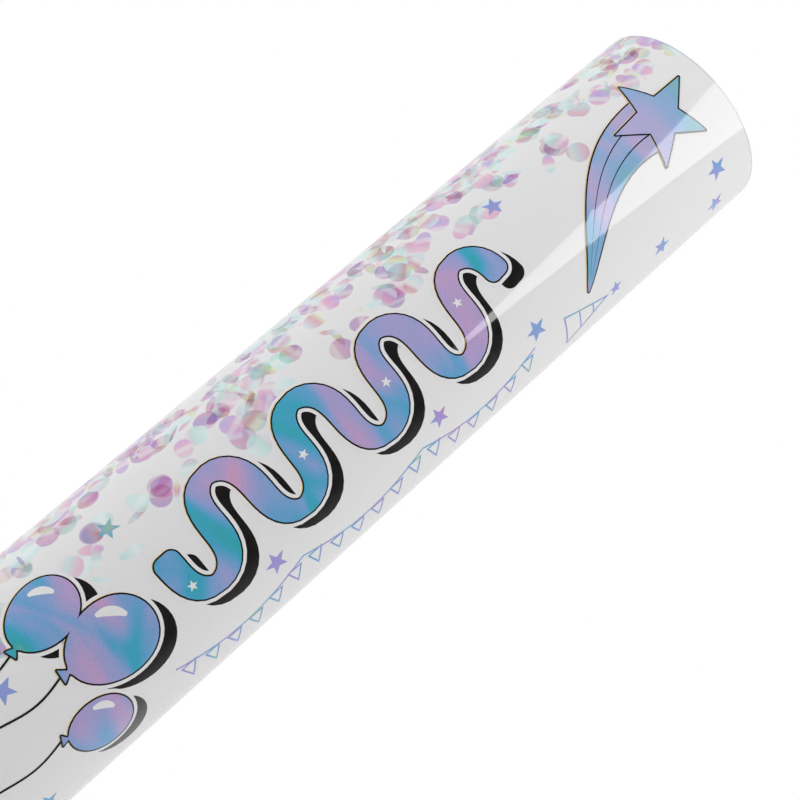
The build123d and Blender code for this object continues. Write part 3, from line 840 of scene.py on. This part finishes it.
arrows = both_sides([arrow(0.0, 62.0, 30.0, 7.0)])
arrow_stars = both_sides([star(-23.0, 60.0, 5.2, 0.3), star(25.0, 67.0, 5.2, -0.2)])
bold_print("handle_print", arrows + arrow_stars, [], "handle", arrows)
small_stars = [(-10.0, 84.0, 3.1), (12.0, 40.0, 3.0), (8.0, 92.0, 2.8), (-20.0, 30.0, 3.2), (24.0, 90.0, 2.9)]
solid = [star(s, z, size, 0.4 * s) for s, z, size in small_stars]
rolled("handle_print_stars", both_sides(solid), 1, "handle", line_ink)

# %% [markdown]
# ## Card tubes
#
# Under the sheet is a spiral-wound tube of grey board. Its bore shows the helical joint of the paper plies, and
# its cut ends show the plies as fine rings. Both are drawn from object coordinates: the joint from the height and
# the turn, and the rings from the distance to the axis.

# %% Grey board
PLY_THICKNESS = 0.4

# Recycled pulp: a warm, dull grey with fibres that lie along the winding, and no gloss.
board, nodes, shader = new_material("spiral_wound_grey_board")
sheet = unrolled(nodes)
joint = remap(nodes, from_ply_joint(nodes, sheet), 0, 0.35, 1, 0)
place = add(nodes, "TexCoord").outputs["Object"]
flat = add(nodes, "VectorMath", {0: place, 1: (1 / MM, 1 / MM, 0.0)}, operation="MULTIPLY")
depth = add(nodes, "VectorMath", {0: flat}, operation="LENGTH").outputs["Value"]
rings = calc(nodes, "SINE", calc(nodes, "MULTIPLY", depth, 2 * pi / PLY_THICKNESS))
fibres = add(nodes, "Mapping", {"Vector": sheet, "Rotation": (0, 0, 0.64), "Scale": (0.35, 2.4, 1)})
fibres = add(nodes, "TexNoise", {"Vector": fibres, "Scale": 1.0, "Detail": 5.0})
tone = calc(nodes, "MULTIPLY_ADD", rings, 0.07, fibres)
tone = calc(nodes, "MULTIPLY_ADD", joint, -0.35, tone)
pulp = colours(nodes, tone, [(0.1, "6f6860"), (0.4, "a9a196"), (0.7, "c2bab0")])
bump = add(nodes, "Bump", {"Height": tone, "Distance": 0.08 * MM})
feed(shader, {"Base Color": pulp, "Normal": bump, "Roughness": 0.85})

# %% Card tubes of barrel and handle
BOARD_WALL, RUBBED_EDGE = 1.6, 0.15
for body in TUBES:
    bm = cut_tube(body + "_tube", BOARD_WALL, RUBBED_EDGE, at_bore=True, steps=192)
    piece(body + "_card", bm, body, board, "card", body + "_tube")

# %% [markdown]
# Between the wad and the confetti lies a disc that is punched from flat board. It isn't wound, so its fibres lie
# one way across it, as the papermaking machine left them.

# %% The wad's card
PUNCHED_EDGE = 0.2

# The same dull pulp, but pressed flat: short fibres in one direction, and an even tone.
flat_board, nodes, shader = new_material("flat_grey_board")
place = add(nodes, "TexCoord").outputs["Object"]
fibres = add(nodes, "Mapping", {"Vector": place, "Scale": (1 / (1.6 * MM), 1 / (0.5 * MM), 1 / (0.5 * MM))})
fibres, pulp = mottle(nodes, {"Vector": fibres, "Scale": 1.0, "Detail": 5.0},
                      [(0.2, "8d867c"), (0.5, "ada59a"), (0.8, "bfb7ad")])
bump = add(nodes, "Bump", {"Height": fibres, "Distance": 0.06 * MM})
feed(shader, {"Base Color": pulp, "Normal": bump, "Roughness": 0.85})

r, bottom, top = measured("wad_card")
bm = spun([(0, bottom), (r, bottom), (r, top), (0, top)], steps=128)
for z in (bottom, top):
    bevel_circle(bm, r, z, PUNCHED_EDGE)
piece("wad_board", bm, "wad", flat_board, "card", "wad_card")

# %% [markdown]
# ## Foam discs
#
# The wad and the muzzle's closing disc are punched from a sheet of white polyethylene foam. Foam is never quite
# flat: the surface swells between the cells and the punch rounds the edge. The disc is spun with many rings, so
# that noise can move its points, and the small cells are left to the finish.

# %% Polyethylene foam
# Light sinks a little way into foam, so its white is soft, and thin cell walls show as a fine net.
foam, nodes, shader = new_material("closed_cell_polyethylene_foam")
place = add(nodes, "TexCoord").outputs["Object"]
cells = add(nodes, "TexVoronoi", {"Vector": place, "Scale": 1 / (1.1 * MM)},
            feature="DISTANCE_TO_EDGE").outputs["Distance"]
wall = remap(nodes, cells, 0, 0.22)
cloud = add(nodes, "TexNoise", {"Vector": place, "Scale": 1 / (9 * MM), "Detail": 3.0})
tone = calc(nodes, "MULTIPLY_ADD", wall, 0.3, cloud)
tone = colours(nodes, tone, [(0.3, "d6d6d3"), (0.75, "ededeb")])
bump = add(nodes, "Bump", {"Height": wall, "Strength": 0.6, "Distance": 0.12 * MM})
feed(shader, {"Base Color": tone, "Normal": bump, "Roughness": 0.7, "Subsurface Weight": 0.2,
              "Subsurface Radius": (1.0, 1.0, 1.0), "Subsurface Scale": 1.5 * MM})

# %% Punched foam discs
ROUND_OFF, SHOULDER = 0.9, 0.25
FOAM_RINGS = 18
SINK, SWELL = 0.12, 0.09


def foam_disc(node, name, body):
    """A punched foam disc with soft edges and a gently uneven face."""
    r, bottom, top = measured(node)
    rings = [(r - ROUND_OFF) * k / FOAM_RINGS for k in range(FOAM_RINGS + 1)]
    side = [(r - SHOULDER, bottom + SHOULDER), (r, bottom + ROUND_OFF), (r, top - ROUND_OFF),
            (r - SHOULDER, top - SHOULDER)]
    bm = spun([(ring, bottom) for ring in rings] + side + [(ring, top) for ring in rings[::-1]], steps=144)
    bm.normal_update()
    for vert in bm.verts:
        swell = noise.noise(vert.co / (4 * MM)) + 0.5 * noise.noise(vert.co / (1.6 * MM))
        vert.co -= vert.normal * (SINK + SWELL * swell) * MM
    return piece(name, bm, body, foam, "white_foam", node)


foam_disc("closing_disc", "muzzle_foam", "muzzle_disc")
foam_disc("gas_wad", "wad_foam", "wad")
foam_disc("bottle_pad", "pad_foam", "handle")

# %% [markdown]
# ## The charge
#
# The confetti is a loose heap of thin foil discs. Dropping them in at random would let them cut through each
# other, so they lie in layers: in each, a ring of discs overlaps like roof tiles round one disc in the middle. A
# seeded die turns each layer and moves its discs a little, so that no order shows and every run makes the same
# heap. A number on each disc's faces gives it its own pastel, and a thin film makes it shimmer.

# %% Iridescent foil
# Thin polyester with a clear coat: pastels that slide into each other, under a bright, slightly metallic sheen.
foil, nodes, shader = new_material("iridescent_polyester_foil")
tint = add(nodes, "Attribute", attribute_name="tint").outputs["Fac"]
place = add(nodes, "TexCoord").outputs["Object"]
ripple = add(nodes, "TexNoise", {"Vector": place, "Scale": 1 / (11 * MM), "Detail": 1.0})
hue = calc(nodes, "FRACT", calc(nodes, "MULTIPLY_ADD", ripple, 0.22, tint))
pastel = colours(nodes, hue, DISC_COLOURS)
sheen = remap(nodes, ripple, 0, 1, 0.12, 0.3)
feed(shader, {"Base Color": pastel, "Roughness": sheen, "Metallic": 0.15, "Thin Film Thickness": 420.0})

# %% A heap of discs
FOIL_RADIUS, FOIL_THICKNESS = 7.0 * MM, 0.14 * MM
RING = 14.6
LAYERS = 24
_, bottom, top = measured("confetti_discs")
step = (top - bottom) / LAYERS
bm = bmesh.new()
tints = bm.faces.layers.float.new("tint")
dice = random.Random(5)
for layer in range(LAYERS):
    z = bottom + step * (layer + 0.5)
    around, first = dice.choice((7, 8)), dice.uniform(0, 2 * pi)
    lean = radians(dice.uniform(4, 7.2)) * dice.choice((-1, 1))
    spots = []
    if layer < LAYERS - 1:
        spots.append((dice.uniform(0, 1.5), first, z + step / 2, radians(dice.uniform(-3, 3))))
    for k in range(around):
        turn = first + 2 * pi * k / around + dice.uniform(-0.1, 0.1)
        spots.append((RING + dice.uniform(-2.2, 0.8), turn, z, lean))
    for out, turn, up, tilt in spots:
        spot = Matrix.Rotation(turn, 4, "Z") @ Matrix.Translation(Vector((out, 0, up)) * MM)
        new = bmesh.ops.create_cone(bm, cap_ends=True, segments=24, radius1=FOIL_RADIUS, radius2=FOIL_RADIUS,
                                    depth=FOIL_THICKNESS, matrix=spot @ Matrix.Rotation(tilt, 4, "X"))
        shade = dice.random()
        for face in {face for vert in new["verts"] for face in vert.link_faces}:
            face[tints] = shade
piece("foil_confetti", bm, "charge", foil, "iridescent_foil", "confetti_discs")

# %% [markdown]
# ## The moulded foot
#
# The base cap is moulded in white polypropylene: a foot as wide as the tube, a skirt glued inside it and ribs
# that cradle the bottle. The foot and skirt are one spun profile. The ribs are blocks, and the underside gets
# the traces of moulding that such caps have: a gate nub and three round ejector marks.

# %% White polypropylene
def cloudy_finish(name, pattern, stops, gloss, constants):
    """A finish whose tone and gloss drift together with one noise on object coordinates."""
    material, nodes, shader = new_material(name)
    place = add(nodes, "TexCoord").outputs["Object"]
    drift, tone = mottle(nodes, {"Vector": place, **pattern}, stops)
    sheen = remap(nodes, drift, 0, 1, *gloss)
    feed(shader, {"Base Color": tone, "Roughness": sheen, **constants})
    return material, nodes, shader, place


# Milky and satin: light goes in a little way, and a fine spark-eroded grain breaks up the gloss.
moulding, nodes, shader, place = cloudy_finish(
    "moulded_white_polypropylene", {"Scale": 1 / (14 * MM), "Detail": 2.0}, [(0.3, "e3e3e4"), (0.7, "ecebea")],
    (0.38, 0.5), {"Subsurface Weight": 0.1, "Subsurface Scale": 1.0 * MM})
spark = add(nodes, "TexNoise", {"Vector": place, "Scale": 1 / (0.5 * MM), "Detail": 2.0})
feed(shader, {"Normal": add(nodes, "Bump", {"Height": spark, "Strength": 0.4, "Distance": 0.03 * MM})})

# %% Base cap
FOOT, HOLLOW = 3.0, 0.8
SKIRT_TOP = measured("base_cap")[2]
SKIRT_RADIUS, SKIRT_BORE, HOLLOW_RADIUS = 23.15, 21.35, 20.0
RIBS, RIB_MIDDLE, RIB_DEPTH, RIB_WIDTH = 8, 20.8, 3.0, 1.6
bm = spun([(0, HOLLOW), (HOLLOW_RADIUS, HOLLOW), (HOLLOW_RADIUS, 0), (RADIUS, 0), (RADIUS, FOOT),
           (SKIRT_RADIUS, FOOT), (SKIRT_RADIUS, SKIRT_TOP), (SKIRT_BORE, SKIRT_TOP), (SKIRT_BORE, FOOT),
           (0, FOOT)], steps=256)
bevel_circle(bm, RADIUS, 0, 0.8, segments=5)
for r, z, edge in ((RADIUS, FOOT, 0.12), (HOLLOW_RADIUS, 0, 0.35), (HOLLOW_RADIUS, HOLLOW, 0.3),
                   (SKIRT_BORE, SKIRT_TOP, 0.3)):
    bevel_circle(bm, r, z, edge)
for k in range(RIBS):
    middle = Matrix.Translation(Vector((RIB_MIDDLE, 0, (FOOT + SKIRT_TOP) / 2)) * MM)
    size = Matrix.Diagonal(Vector((RIB_DEPTH, RIB_WIDTH, SKIRT_TOP - FOOT)) * MM).to_4x4()
    bmesh.ops.create_cube(bm, size=1, matrix=Matrix.Rotation(2 * pi * k / RIBS, 4, "Z") @ middle @ size)
gate, ejectors = (1.6, 0.0, 0.0, 0.35), [(2.6, 12.5, radians(30 + 120 * k), 0.12) for k in range(3)]
for r, out, turn, drop in [gate] + ejectors:
    mark = Matrix.Translation(Vector((out * cos(turn), out * sin(turn), HOLLOW)) * MM)
    bmesh.ops.create_cone(bm, cap_ends=True, segments=48, radius1=(r - 0.1) * MM, radius2=r * MM,
                          depth=2 * drop * MM, matrix=mark)
piece("foot_moulding", bm, "handle", moulding, "white_moulding", "base_cap")

# %% [markdown]
# ## The mechanism
#
# The valve, the cam and the bottle sit inside the tube. Their CAD meshes have the right shape, so they stay, and
# each gets the finish of its real material.

# %% Moulded acetal and oiled steel
# Natural acetal is creamy and slightly see-through, with a waxy gloss and faint flow marks.
acetal = cloudy_finish("moulded_natural_acetal", {"Scale": 1 / (6 * MM), "Detail": 2.0, "Distortion": 1.0},
                       [(0.3, "e6e2d6"), (0.7, "f0ede3")], (0.25, 0.38), {"IOR": 1.48})[0]
# Spring steel is dark, with a thin film of oil that pools unevenly.
steel = cloudy_finish("oiled_spring_steel", {"Scale": 1 / (2.5 * MM), "Detail": 3.0},
                      [(0.3, "55585c"), (0.7, "7b7e83")], (0.2, 0.4), {"Metallic": 1.0})[0]

# %% Drawn aluminium
# Drawing and ironing leave fine lines round the bottle, which stretch its highlights along it.
aluminium, nodes, shader = new_material("drawn_aluminium")
lines = add(nodes, "Mapping", {"Vector": unrolled(nodes), "Scale": (0.02, 3.0, 1)})
lines, bright = mottle(nodes, {"Vector": lines, "Scale": 1.0, "Detail": 4.0}, [(0.3, "c6c8cb"), (0.7, "d9dbdd")])
drawn = remap(nodes, lines, 0, 1, 0.24, 0.42)
feed(shader, {"Base Color": bright, "Roughness": drawn, "Metallic": 1.0})

# %% Nitrile rubber
# Moulded rubber is matt black, and a dusting of talc greys it in spots.
rubber, nodes, shader = new_material("moulded_nitrile_rubber")
place = add(nodes, "TexCoord").outputs["Object"]
_, soot = mottle(nodes, {"Vector": place, "Scale": 1 / (1.2 * MM), "Detail": 4.0},
                 [(0.35, "1c1c1e"), (0.8, "3a3a3c")])
feed(shader, {"Base Color": soot, "Roughness": 0.75})

# %% Give each inner piece its finish
finishes = {
    moulding: ["breech_collar", "diffuser_plate", "handle_collar"],
    acetal: ["cam_sleeve", "valve_seat", "release_plug", "thrust_washer"],
    aluminium: ["air_bottle", "crimp_ferrule"],
    steel: ["retaining_clip", "cross_pin"],
    rubber: ["fill_plug", "neck_gasket", "plug_o_ring"],
}
for finish, names in finishes.items():
    for name in names:
        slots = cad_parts[name].data.materials
        slots.clear()
        slots.append(finish)
    print(finish.name, "on", names)
